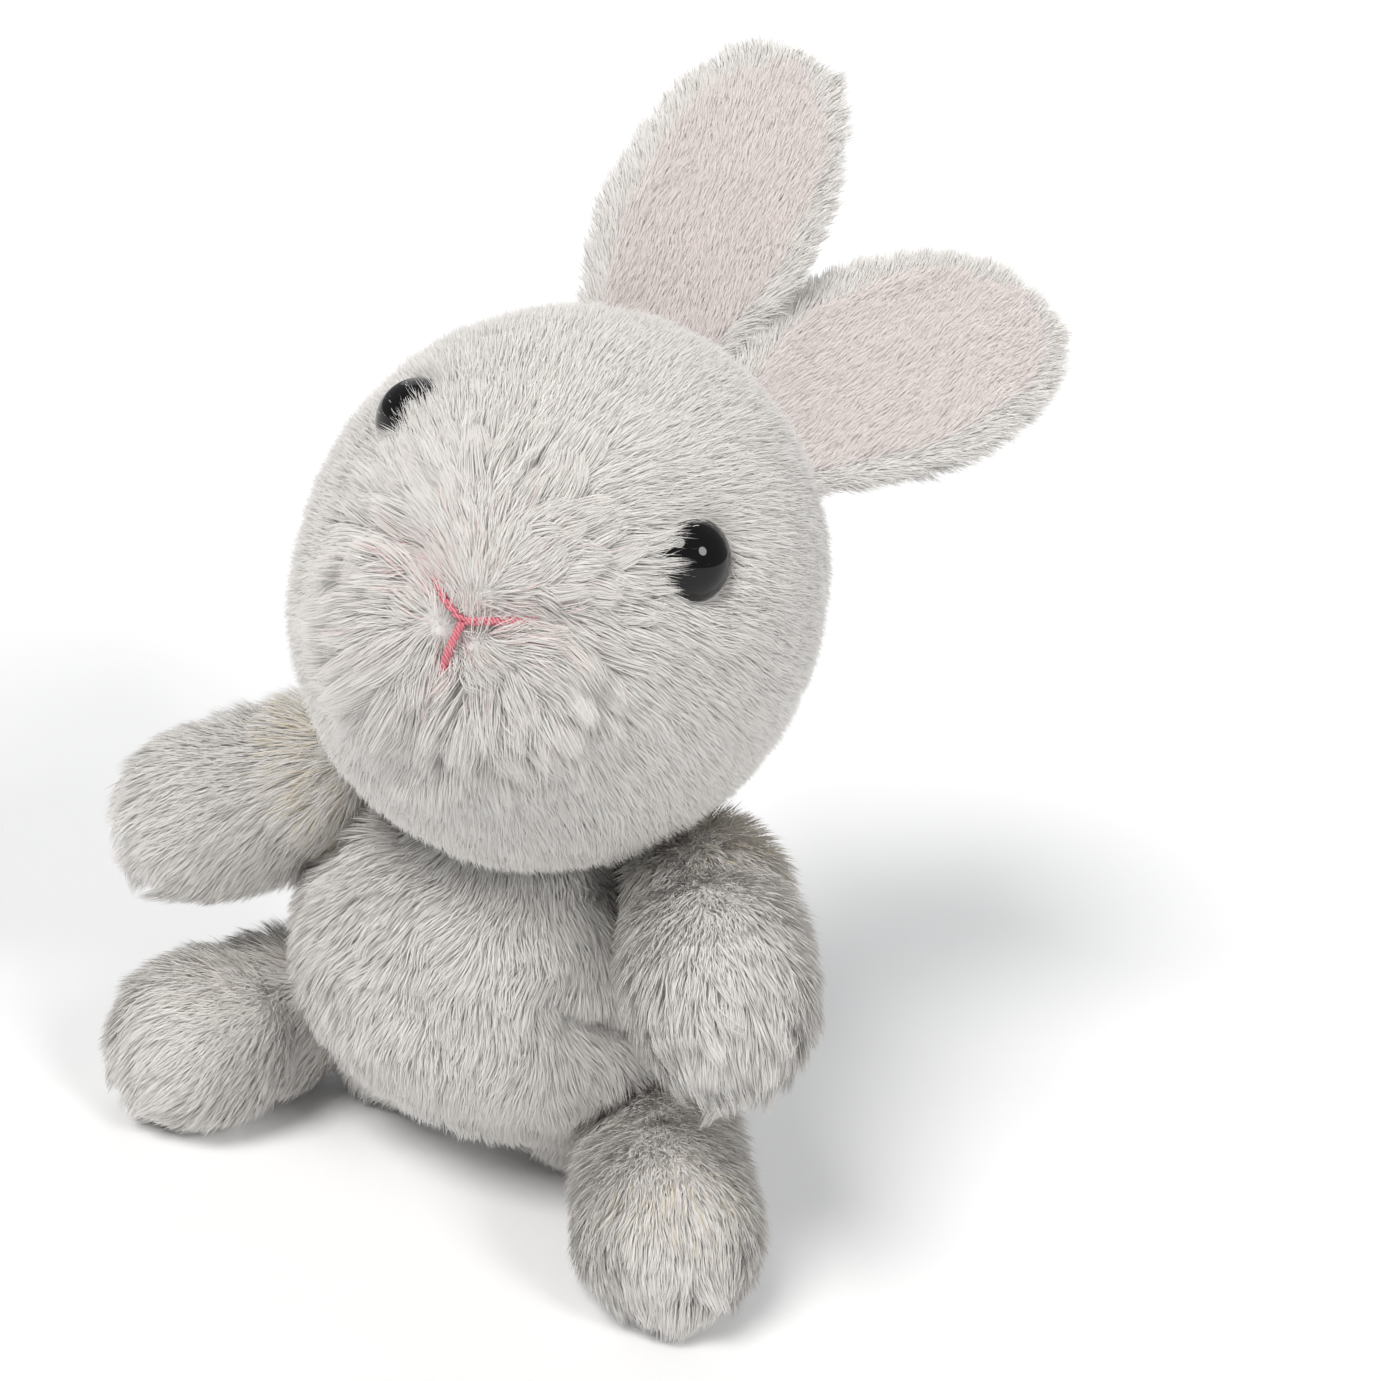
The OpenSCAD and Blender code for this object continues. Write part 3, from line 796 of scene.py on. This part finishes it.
def head_groom(p, n):
    """Longer pile on the muzzle and by the eyes, pressed short by the stitches."""
    q = Head.local(p)
    away = p - (JOIN + Head.fore * 2 * MM)
    far = np.linalg.norm(away, axis=1)
    thread = np.min([from_segment(p, *ends) for ends in STITCHES.values()], axis=0)
    face = smooth_step(q[:, 1], 0, 20 * MM)
    below = smooth_step(-q[:, 2], 2 * MM, 16 * MM)
    muzzle = fade(far - 13 * MM, 9 * MM) * (q[:, 2] < 2 * MM)
    by_eye = beside_eyes(p)
    length = (PILE_MM["head"] + 0.8 * face * below + 3.0 * muzzle) * MM
    length += by_eye * 6.2 * MM
    length *= 1 - 0.42 * fade(thread, 1.6 * MM)
    lean = np.radians(LEAN["head"] + 8 * face - 12 * muzzle - 14 * by_eye)
    bend = 0.55 + 0.35 * np.clip(by_eye, 0, 1)
    pink = 0.5 * fade(thread, 1.7 * MM) + 0.07 * fade(far, 15 * MM)
    return head_nap(p, n, away, far, thread), length, lean, bend, tinted(p, "head", pink)


def head_pull(q):
    """Locks stand apart on the muzzle and lie close elsewhere."""
    return 0.3 + 0.6 * fade(far_from(q, Head.nose) - 16 * MM, 9 * MM)


def torso_want(p, n):
    """No pile in the dimples that the limbs and head sit in, and thin pile underneath."""
    keep = np.ones(len(p))
    for places, r in ((SHOULDERS, SHOULDER_R), (HIPS, HIP_R)):
        for c in places.values():
            keep[far_from(p, c) < r - 1.5 * MM] = 0
    keep[p[:, 2] > TORSO_TOP - 2.5 * MM] = 0
    keep[p[:, 2] < 2.2 * MM] *= 0.5
    return keep


def torso_groom(p, n):
    """Fluffy pile that falls down the belly and turns outward at the flanks."""
    down = np.array([0, 0, -1.0]) + 0.25 * unit(p * [1, 1, 0])
    nap = flat_on(down, n)
    under = smooth_step(-n[:, 2], 0.55, 0.9)
    out = flat_on(p * [1, 1, 0], n)
    nap = flat_on(nap * (1 - under)[:, None] + out * under[:, None], n)
    nap = flat_on(nap + 0.75 * noise_vectors(p, 6 * MM, 70), n)
    length = PILE_MM["torso"] * MM * (1 - 0.45 * under)
    length *= 1 - 0.75 * fade(from_fold(p), 2.6 * MM)
    lean = np.radians(LEAN["torso"] + 24 * under)
    # Where the belly nears the floor, the pile lies flat.
    length *= 1 - 0.5 * (1 - smooth_step(p[:, 2], 1.5 * MM, 6 * MM))
    stain = sum(fade(far_from(p, c) - SHOULDER_R, 3 * MM) for c in SHOULDERS.values())
    return nap, length, lean, 0.5, tinted(p, "torso", 0.2 * np.clip(stain, 0, 1))


def limb_groom(root, tip, tuft, stain_at_root, sole=0.0):
    """Pile that runs along a limb, longer by tuft mm on its end, with faint tan in it."""
    axis = unit(tip - root)
    reach = np.linalg.norm(tip - root)

    def groom(p, n):
        t = (p - root) @ axis / reach
        end = smooth_step(t, 0.62, 0.98)
        side = flat_on(p - root - ((p - root) @ axis)[:, None] * axis, n)
        nap = flat_on(axis + np.array([0, 0, -0.35]) + 0.3 * side * end[:, None], n)
        over = (1 - smooth_step(t, 0.1, 0.5)) * smooth_step(n[:, 2], -0.2, 0.6)
        length = (PILE_MM["limb"] + tuft * end + 1.8 * over) * MM
        lean = np.radians(LEAN["limb"] - 14 * end - 10 * over)
        length *= 1 - 0.5 * (1 - smooth_step(p[:, 2], 2.5 * MM, 7 * MM))
        length *= 1 - 0.5 * smooth_step(into_body(p, root), 5 * MM, 10 * MM)
        crease = 1 - smooth_step(t, 0.0, 0.22)
        patch = sole * fade(t - 0.75, 0.2) * smooth_step(n[:, 2], 0.1, 0.7)
        return nap, length, lean, 0.5, tinted(p, "limb", stain_at_root * crease + patch)

    return groom


def limb_pull(root, tip):
    """Locks gather towards a limb's end."""
    axis = (tip - root) / np.linalg.norm(tip - root) ** 2
    return lambda q: 0.32 + 0.45 * smooth_step((q - root) @ axis, 0.5, 0.95)


def into_body(p, root):
    """How far points lie past a limb's root, towards the torso."""
    return (p - root) @ unit((TORSO_MID - root) * [1, 1, 0])


def off_body(root, r):
    """No pile on the part of a limb that is buried in the torso."""
    return lambda p, n: np.where(into_body(p, root) > r, 0.0, 1.0)


def tail_groom(p, n):
    """Pile that stands out all round the tail."""
    out = flat_on(p - TAIL + np.array([0, 0.004, -0.006]), n)
    nap = flat_on(out + noise_vectors(p, 6 * MM, 40), n)
    return (nap, PILE_MM["tail"] * MM, math.radians(LEAN["tail"]), 0.4,
            tinted(p, "plain", 0.0))


# ---- Making the padded parts ----
def make_skins():
    made, seams = {}, []

    def add(part, level, seam, *inside):
        made[part] = mesh_object(part + "_cloth", cast_skin([part + "_shell", *inside], level),
                                 "skin")
        seams.append((made[part], seam))

    add("torso", 5, torso_seam, "torso_stuffing")
    add("head", 5, head_seam, "head_stuffing")
    add("tail", 4, tail_seam)
    for s in SIDES:
        add("arm_" + s, 4, limb_seam(*ARMS[s]))
        add("leg_" + s, 4, limb_seam(*LEGS[s]))
    inflate(seams)
    for o in made.values():
        subdivide(o)
    for part, o in made.items():
        plump(o, PLUMP[part.split("_")[0]], [x + "_shell" for x in made if x != part])
    press_in(made["head"], head_relief)
    press_in(made["torso"], torso_relief)
    raise_front(made["torso"])
    for k, s in enumerate(SIDES):
        shorten(made["leg_" + s], *LEGS[s], LEG_SHORT[s])
        press_in(made["arm_" + s], limb_relief(11 + k))
        press_in(made["leg_" + s], limb_relief(15 + k))
    for part, o in made.items():
        keep_off_floor(o)
        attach(o, part)
        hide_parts(part + "_shell")
        make_fill(o, part)
    return made


def make_fill(skin, part):
    """The padding itself: the finished skin's inside, one cloth and nap thickness in."""
    o = mesh_object(part + "_fill", skin.data.copy(), "fill")
    co, n = mesh_points(o.data), mesh_normals(o.data)
    loft = FILL_GAP + 0.35 * MM * noise_at(co, 4 * MM, 33)
    put_points(o.data, co - n * loft[:, None])
    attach(o, part)
    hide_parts(part + "_stuffing")


def keep_off_floor(o):
    co = mesh_points(o.data)
    co[:, 2] = np.maximum(co[:, 2], SKIN_FLOOR)
    put_points(o.data, co)


# ---- Ears ----
class Ear:
    """An ear's own axes and outline, from its CAD lining and back."""

    def __init__(self, side):
        self.side = side
        p = node_points(f"ear_{side}_lining")
        mid = p.mean(0)
        axes = np.linalg.svd(p - mid, full_matrices=False)[2]
        self.z = axes[0] * np.sign(axes[0] @ (mid - Head.centre))
        back = node_points(f"ear_{side}_back")
        y = axes[2]
        behind = (back @ y).max() - (p @ y).max()
        ahead = (p @ y).min() - (back @ y).min()
        self.y = y * (1 if behind > ahead else -1)  # out of the ear's back
        self.x = np.cross(self.y, self.z)
        leaf = back[(back - mid) @ self.z > (back @ self.z).min() - mid @ self.z + 5 * MM]
        self.length = ((back - mid) @ self.z).max() - ((back - mid) @ self.z).min() - 2 * MM
        x_mid = ((leaf @ self.x).max() + (leaf @ self.x).min()) / 2
        y_mid = ((leaf @ self.y).max() + (p @ self.y).min()) / 2
        z_tip = (back @ self.z).max()
        self.root = self.x * x_mid + self.y * y_mid + self.z * (z_tip - self.length)
        q = leaf - self.root
        self.at = np.linspace(0, self.length, 40)
        self.half = np.interp(self.at, *self.hull(q @ self.z, np.abs(q @ self.x)))
        self.lean = EAR_LEAN[side] * np.sign(self.x @ np.array([1.0, 0.3, -0.2]))

    @staticmethod
    def hull(zs, xs):
        """Heights along the ear, and the widest point at each."""
        order = np.argsort(zs)
        levels, first = np.unique(np.round(zs[order], 5), return_index=True)
        widest = np.maximum.reduceat(xs[order], first)
        return np.r_[0.0, levels], np.r_[widest[0], widest]

    def width(self, z):
        s = np.clip(z / self.length, 0, 1)
        return np.interp(z, self.at, self.half) + EAR_WIDEN[self.side] * np.sin(np.pi * s) ** 0.5

    def lining_half(self, z):
        """Half the lining's width: a share of the ear's that rounds off towards the tip."""
        s = np.clip((z / self.length - LINING_FROM) / LINING_SPAN, 0, 1)
        late = np.clip((s - 0.75) / 0.25, 0, 1)
        return self.width(z) * EAR_RIM * np.sqrt(np.maximum(1 - late ** 2, 0.0016))

    def local(self, p):
        q = p - self.root
        z = q @ self.z
        return np.stack([q @ self.x - self.sag(z), q @ self.y, z], 1)

    def sag(self, z):
        """How far the leaf has sunk sideways at height z."""
        return self.lean * np.clip(z / self.length, 0, 1.1) ** 1.1


EARS = {s: Ear(s) for s in SIDES}


def ear_skin(side):
    """A soft leaf with a crowned back, a slightly cupped front and a rounded edge."""
    e = EARS[side]
    rows, cols = 46, 40
    bm = bmesh.new()
    rings = []
    for i in range(rows + 1):
        s = i / rows
        z = e.length * (1 - (1 - s) ** 1.35) * 0.97
        w = EAR_TIP if i == rows else max(e.width(z), EAR_TIP)
        sway = 0.5 * MM * noise.noise(Vector((z / (14 * MM), 3.0 if side == "left" else 8.0, 0)))
        thick = EAR_HALF_T * (0.55 + 0.45 * math.sin(math.pi * min(1.0, 0.15 + 0.85 * s)))
        ring = []
        for k in range(cols):
            a = 2 * math.pi * k / cols
            x = w * math.copysign(abs(math.cos(a)) ** 0.85, math.cos(a))
            y = thick * math.sin(a)
            y += EAR_CUP * (1 - (x / w) ** 2) * (0.4 + 0.6 * math.sin(math.pi * s))
            y += EAR_RECURVE * s * s
            p = e.root + e.x * (x + sway + e.sag(z)) + e.y * y + e.z * z
            ring.append(bm.verts.new(p))
        rings.append(ring)
    for a, b in zip(rings, rings[1:]):
        for k in range(cols):
            j = (k + 1) % cols
            bm.faces.new((a[k], a[j], b[j], b[k]))
    bm.faces.new(rings[0][::-1])
    bm.faces.new(rings[-1])
    bmesh.ops.recalc_face_normals(bm, faces=bm.faces)
    name = f"ear_{side}_cloth"
    return mesh_object(name, mesh_from(bm, name), "skin")


def ear_lining_skin(side, skin):
    """A thin cloth leaf that lies on the ear's front inside its rim."""
    e = EARS[side]
    rows, cols = 40, 16
    tree = tree_of(skin.data)
    bm = bmesh.new()
    grid = []
    for i in range(rows + 1):
        z = e.length * (LINING_FROM + LINING_SPAN * i / rows)
        row = []
        for k in range(cols + 1):
            t = 2 * k / cols - 1
            x = e.lining_half(z) * t
            at = Vector(e.root + e.x * (x + e.sag(z)) + e.z * z - e.y * 20 * MM)
            hit = tree.ray_cast(at, Vector(e.y))[0]
            proud = 0.35 * MM * math.sqrt(max(1 - t * t, 0.0)) + 0.1 * MM
            row.append(bm.verts.new((hit if hit else at + Vector(e.y) * 20 * MM)
                                    - Vector(e.y) * proud))
        grid.append(row)
    for a, b in zip(grid, grid[1:]):
        for k in range(cols):
            bm.faces.new((a[k], a[k + 1], b[k + 1], b[k]))
    bm.normal_update()
    bm.faces.ensure_lookup_table()
    if bm.faces[len(bm.faces) // 2].normal.dot(Vector(e.y)) > 0:
        bmesh.ops.reverse_faces(bm, faces=bm.faces)
    name = f"ear_{side}_lining_cloth"
    return mesh_object(name, mesh_from(bm, name), "ear_skin")


def ear_groom(side):
    """Pile that runs up the ear and fans out over its rim."""
    e = EARS[side]

    def groom(p, n):
        q = e.local(p)
        edge = np.clip(np.abs(q[:, 0]) / np.maximum(e.width(q[:, 2]), MM), 0, 1.1)
        tip = smooth_step(q[:, 2], 0.8 * e.length, e.length)
        out = np.sign(q[:, 0])[:, None] * e.x * (0.9 * edge ** 2)[:, None]
        nap = flat_on(e.z + out + np.array([0, 0, -0.1]), n)
        rim = np.maximum(smooth_step(edge, 0.75, 1.0), tip)
        length = PILE_MM["ear"] * MM - 0.4 * MM * tip
        lean = np.radians(LEAN["ear"] - 10 * rim)
        return nap, length, lean, 0.5, tinted(p, "plain", 0.0)

    return groom


def rim_want(side):
    """Ear pile grows on the back and round the rim, and the lining has its own."""
    e = EARS[side]

    def want(p, n):
        q = e.local(p)
        front = dot(n, -e.y[None])[:, 0] > 0.25
        lined = np.abs(q[:, 0]) < e.lining_half(q[:, 2]) - 1.0 * MM
        inner = front & lined & (q[:, 2] < 0.93 * e.length)
        return np.where(inner, 0.0, 1.0)

    return want


def lining_groom(side):
    """Short smooth pile up the lining, longer towards its edges."""
    e = EARS[side]

    def groom(p, n):
        q = e.local(p)
        nap = flat_on(e.z + 0.25 * noise_vectors(p, 12 * MM, 50), n)
        edge = np.abs(q[:, 0]) / np.maximum(e.width(q[:, 2]), MM)
        length = (PILE_MM["lining"] + 0.9 * smooth_step(edge, 0.5, 0.8)) * MM
        return nap, length, math.radians(LEAN["lining"]), 0.5, tinted(p, "lining", 0.35)

    return groom


def make_ears():
    made = []
    for s in SIDES:
        skin = ear_skin(s)
        lining = ear_lining_skin(s, skin)
        for o, node, slot in ((skin, f"ear_{s}_back", "white_plush"),
                              (lining, f"ear_{s}_lining", "ear_lining")):
            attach(o, f"ear_{s}")
            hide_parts(node)
        made.append((s, skin, lining))
    return made


# ---- Face ----
def tube(points, radius):
    """Verts and faces of a closed tube along points."""
    points, sides = [Vector(p) for p in points], TUBE_SIDES
    verts, faces = [], []
    for i, p in enumerate(points):
        d = (points[min(i + 1, len(points) - 1)] - points[max(i - 1, 0)]).normalized()
        a = d.orthogonal().normalized()
        b = d.cross(a)
        r = radius * (0.45 if i in (0, len(points) - 1) else 1.0)
        verts += [p + (a * math.cos(2 * math.pi * k / sides)
                       + b * math.sin(2 * math.pi * k / sides)) * r for k in range(sides)]
    for i in range(len(points) - 1):
        for k in range(sides):
            j = (k + 1) % sides
            faces.append((i * sides + k, i * sides + j, (i + 1) * sides + j, (i + 1) * sides + k))
    faces.append(tuple(range(sides))[::-1])
    faces.append(tuple((len(points) - 1) * sides + k for k in range(sides)))
    return verts, faces


def threads(name, ends, node):
    """Embroidered stitches: twisted plies of thread, arched over the pile."""
    verts, faces = [], []
    for a, b in ends:
        out = unit((a + b) / 2 - Head.centre)
        across = unit(np.cross(b - a, out))
        for ply in range(PLIES):
            line = []
            for i in range(PLY_STEPS + 1):
                t = i / PLY_STEPS
                turn = 2 * math.pi * (t * PLY_TURNS + ply / PLIES)
                arch = math.sin(math.pi * t) * THREAD_ARCH + THREAD_LIFT
                line.append(a + (b - a) * t + out * (arch + 0.3 * MM * math.sin(turn))
                            + across * (PLY_R * math.cos(turn)))
            v, f = tube(line, THREAD_R)
            base = len(verts)
            verts += v
            faces += [tuple(base + i for i in face) for face in f]
    mesh = bpy.data.meshes.new(name)
    mesh.from_pydata([tuple(v) for v in verts], [], faces)
    o = mesh_object(name, mesh, "pink_thread")
    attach(o, "head")
    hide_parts(node)


def make_face():
    """The three stitches meet in one point under the nose."""
    shown = {k: (JOIN, JOIN + (far - JOIN) * STITCH_SHOWN[k]) for k, far in STITCH_FAR.items()}
    threads("nose_threads", [shown["nose_left"], shown["nose_right"]], "nose_stitches")
    threads("mouth_threads", [shown["mouth"]], "mouth_stitch")


# ---- CAD nodes that keep their shape ----
def dress_cad():
    """Materials for the nodes that stay as they are. The first word found in a name counts."""
    looks = {"stuffing": "fill", "eye_washer": "washer", "eye_": "eye", "seam": "white_thread",
             "stitches": "white_thread"}
    for name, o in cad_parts.items():
        key = next((k for k in looks if k in name), None)
        if key:
            o.data.materials.clear()
            o.data.materials.append(MATS[looks[key]])
            o.data.polygons.foreach_set("use_smooth", np.ones(len(o.data.polygons), bool))


# ---- Studio ----
def stage():
    """A plain pale floor, and an even sky for the fill light."""
    mesh = bpy.data.meshes.new("floor")
    r = FLOOR_HALF
    mesh.from_pydata([(-r, -r, 0), (r, -r, 0), (r, r, 0), (-r, r, 0)], [], [(0, 1, 2, 3)])
    floor = add_object("floor", mesh)
    m, _, p = new_material("pale_floor", 0.9)
    p.inputs["Base Color"].default_value = (0.97, 0.972, 0.975, 1)
    p.inputs["Specular IOR Level"].default_value = 0.0
    mesh.materials.append(m)
    world = bpy.data.worlds.new("studio")
    bpy.context.scene.world = world
    world.use_nodes = True
    back = world.node_tree.nodes["Background"]
    back.inputs["Color"].default_value = SKY
    back.inputs["Strength"].default_value = SKY_STRENGTH
    bpy.context.scene.view_settings.view_transform = "Standard"


def lights():
    """Broad soft lights with no falloff, so that the floor is evenly pale."""
    for name, (source, strength, width, colour) in LIGHTS.items():
        sun = bpy.data.lights.new(name, "SUN")
        sun.energy, sun.angle, sun.color = strength, math.radians(width), colour
        o = add_object(name, sun)
        o.rotation_euler = Vector(source).to_track_quat("Z", "Y").to_euler()


def camera():
    """The photo's viewpoint: from the front right and above, and tilted."""
    a, e, t = (math.radians(x) for x in (VIEW_TURN, VIEW_RISE, VIEW_ROLL))
    back = np.array([math.sin(a) * math.cos(e), -math.cos(a) * math.cos(e), math.sin(e)])
    level = np.array([math.cos(a), math.sin(a), 0.0])
    rise = np.cross(back, level)
    right = level * math.cos(t) + rise * math.sin(t)
    up = -level * math.sin(t) + rise * math.cos(t)
    place = VIEW_TARGET + back * VIEW_DISTANCE
    # The camera turns so that the target falls left of and below the picture's middle.
    want = Vector((-AIM_RIGHT, -AIM_UP, -VIEW_DISTANCE)).normalized()
    turn = Vector((0, 0, -1)).rotation_difference(want).to_matrix()
    axes = arr(turn) @ np.array([right, up, back])
    cam = add_object("camera", bpy.data.cameras.new("camera"))
    cam.data.lens, cam.data.sensor_width = LENS, SENSOR
    m = np.eye(4)
    m[:3, :3] = axes.T
    m[:3, 3] = place
    cam.matrix_world = Matrix(m.tolist())
    cam.data.clip_start = 0.01
    bpy.context.scene.camera = cam


# ---- Everything, in order ----
def band(want, test):
    """A wanted share of pile, kept only where test(points) holds."""
    return lambda p, n: want(p, n) * test(p)


def head_parts():
    """The head's pile in pieces: each a name, a density and a test of its points."""
    def between(lo, hi, side=0):
        def test(p):
            q = Head.local(p)
            return (q[:, 1] >= lo) & (q[:, 1] < hi) & (q[:, 0] * side >= 0)
        return test

    far = 1.0
    halves = [(f"{name}_{s}", DENSE[name], between(*edges, side))
              for name, edges in (("face", (FACE_EDGE, far)), ("crown", (NAPE_EDGE, FACE_EDGE)))
              for s, side in zip(SIDES, (1, -1))]
    return [*halves, ("nape", DENSE["nape"], between(-far, NAPE_EDGE))]


def make_fur(skins, ears):
    for name, dense, test in head_parts():
        grow("head_fur_" + name, skins["head"], "head", head_groom, dense,
             band(head_want, test), pull=head_pull, clear=over_eyes, width=STRAND_W["head"])
    for name, dense, test in (("front", DENSE["belly"], lambda p: p[:, 1] < TORSO_MID[1]),
                              ("back", DENSE["back"], lambda p: p[:, 1] >= TORSO_MID[1])):
        grow("torso_fur_" + name, skins["torso"], "torso", torso_groom, dense,
             band(torso_want, test), pull=0.45, width=STRAND_W["torso"])
    for s in SIDES:
        sole = 0.12 if s == "left" else 0.0  # one foot has a faint tan patch
        for limb, ends, r, groom in (
                (f"arm_{s}", ARMS[s], SHOULDER_R, limb_groom(*ARMS[s], 2.2, 0.2)),
                (f"leg_{s}", LEGS[s], HIP_R, limb_groom(*LEGS[s], 0.6, 0.05, sole))):
            grow(limb + "_fur", skins[limb], limb, groom, DENSE["limb"], off_body(ends[0], r),
                 pull=limb_pull(*ends), width=STRAND_W["limb"])
    grow("tail_fur", skins["tail"], "tail", tail_groom, DENSE["tail"], pull=0.55,
         width=STRAND_W["limb"])
    for s, skin, lining in ears:
        grow(f"ear_{s}_fur", skin, f"ear_{s}", ear_groom(s), DENSE["ear"], rim_want(s), pull=0.4,
             width=STRAND_W["ear"])
        grow(f"ear_{s}_pile", lining, f"ear_{s}", lining_groom(s), DENSE["lining"], pull=0.35,
             width=STRAND_W["lining"], tuft_mm2=0.3, material="ear_pile")


stage()
lights()
camera()
dress_cad()
SKINS = make_skins()
EAR_SKINS = make_ears()
make_face()
make_fur(SKINS, EAR_SKINS)
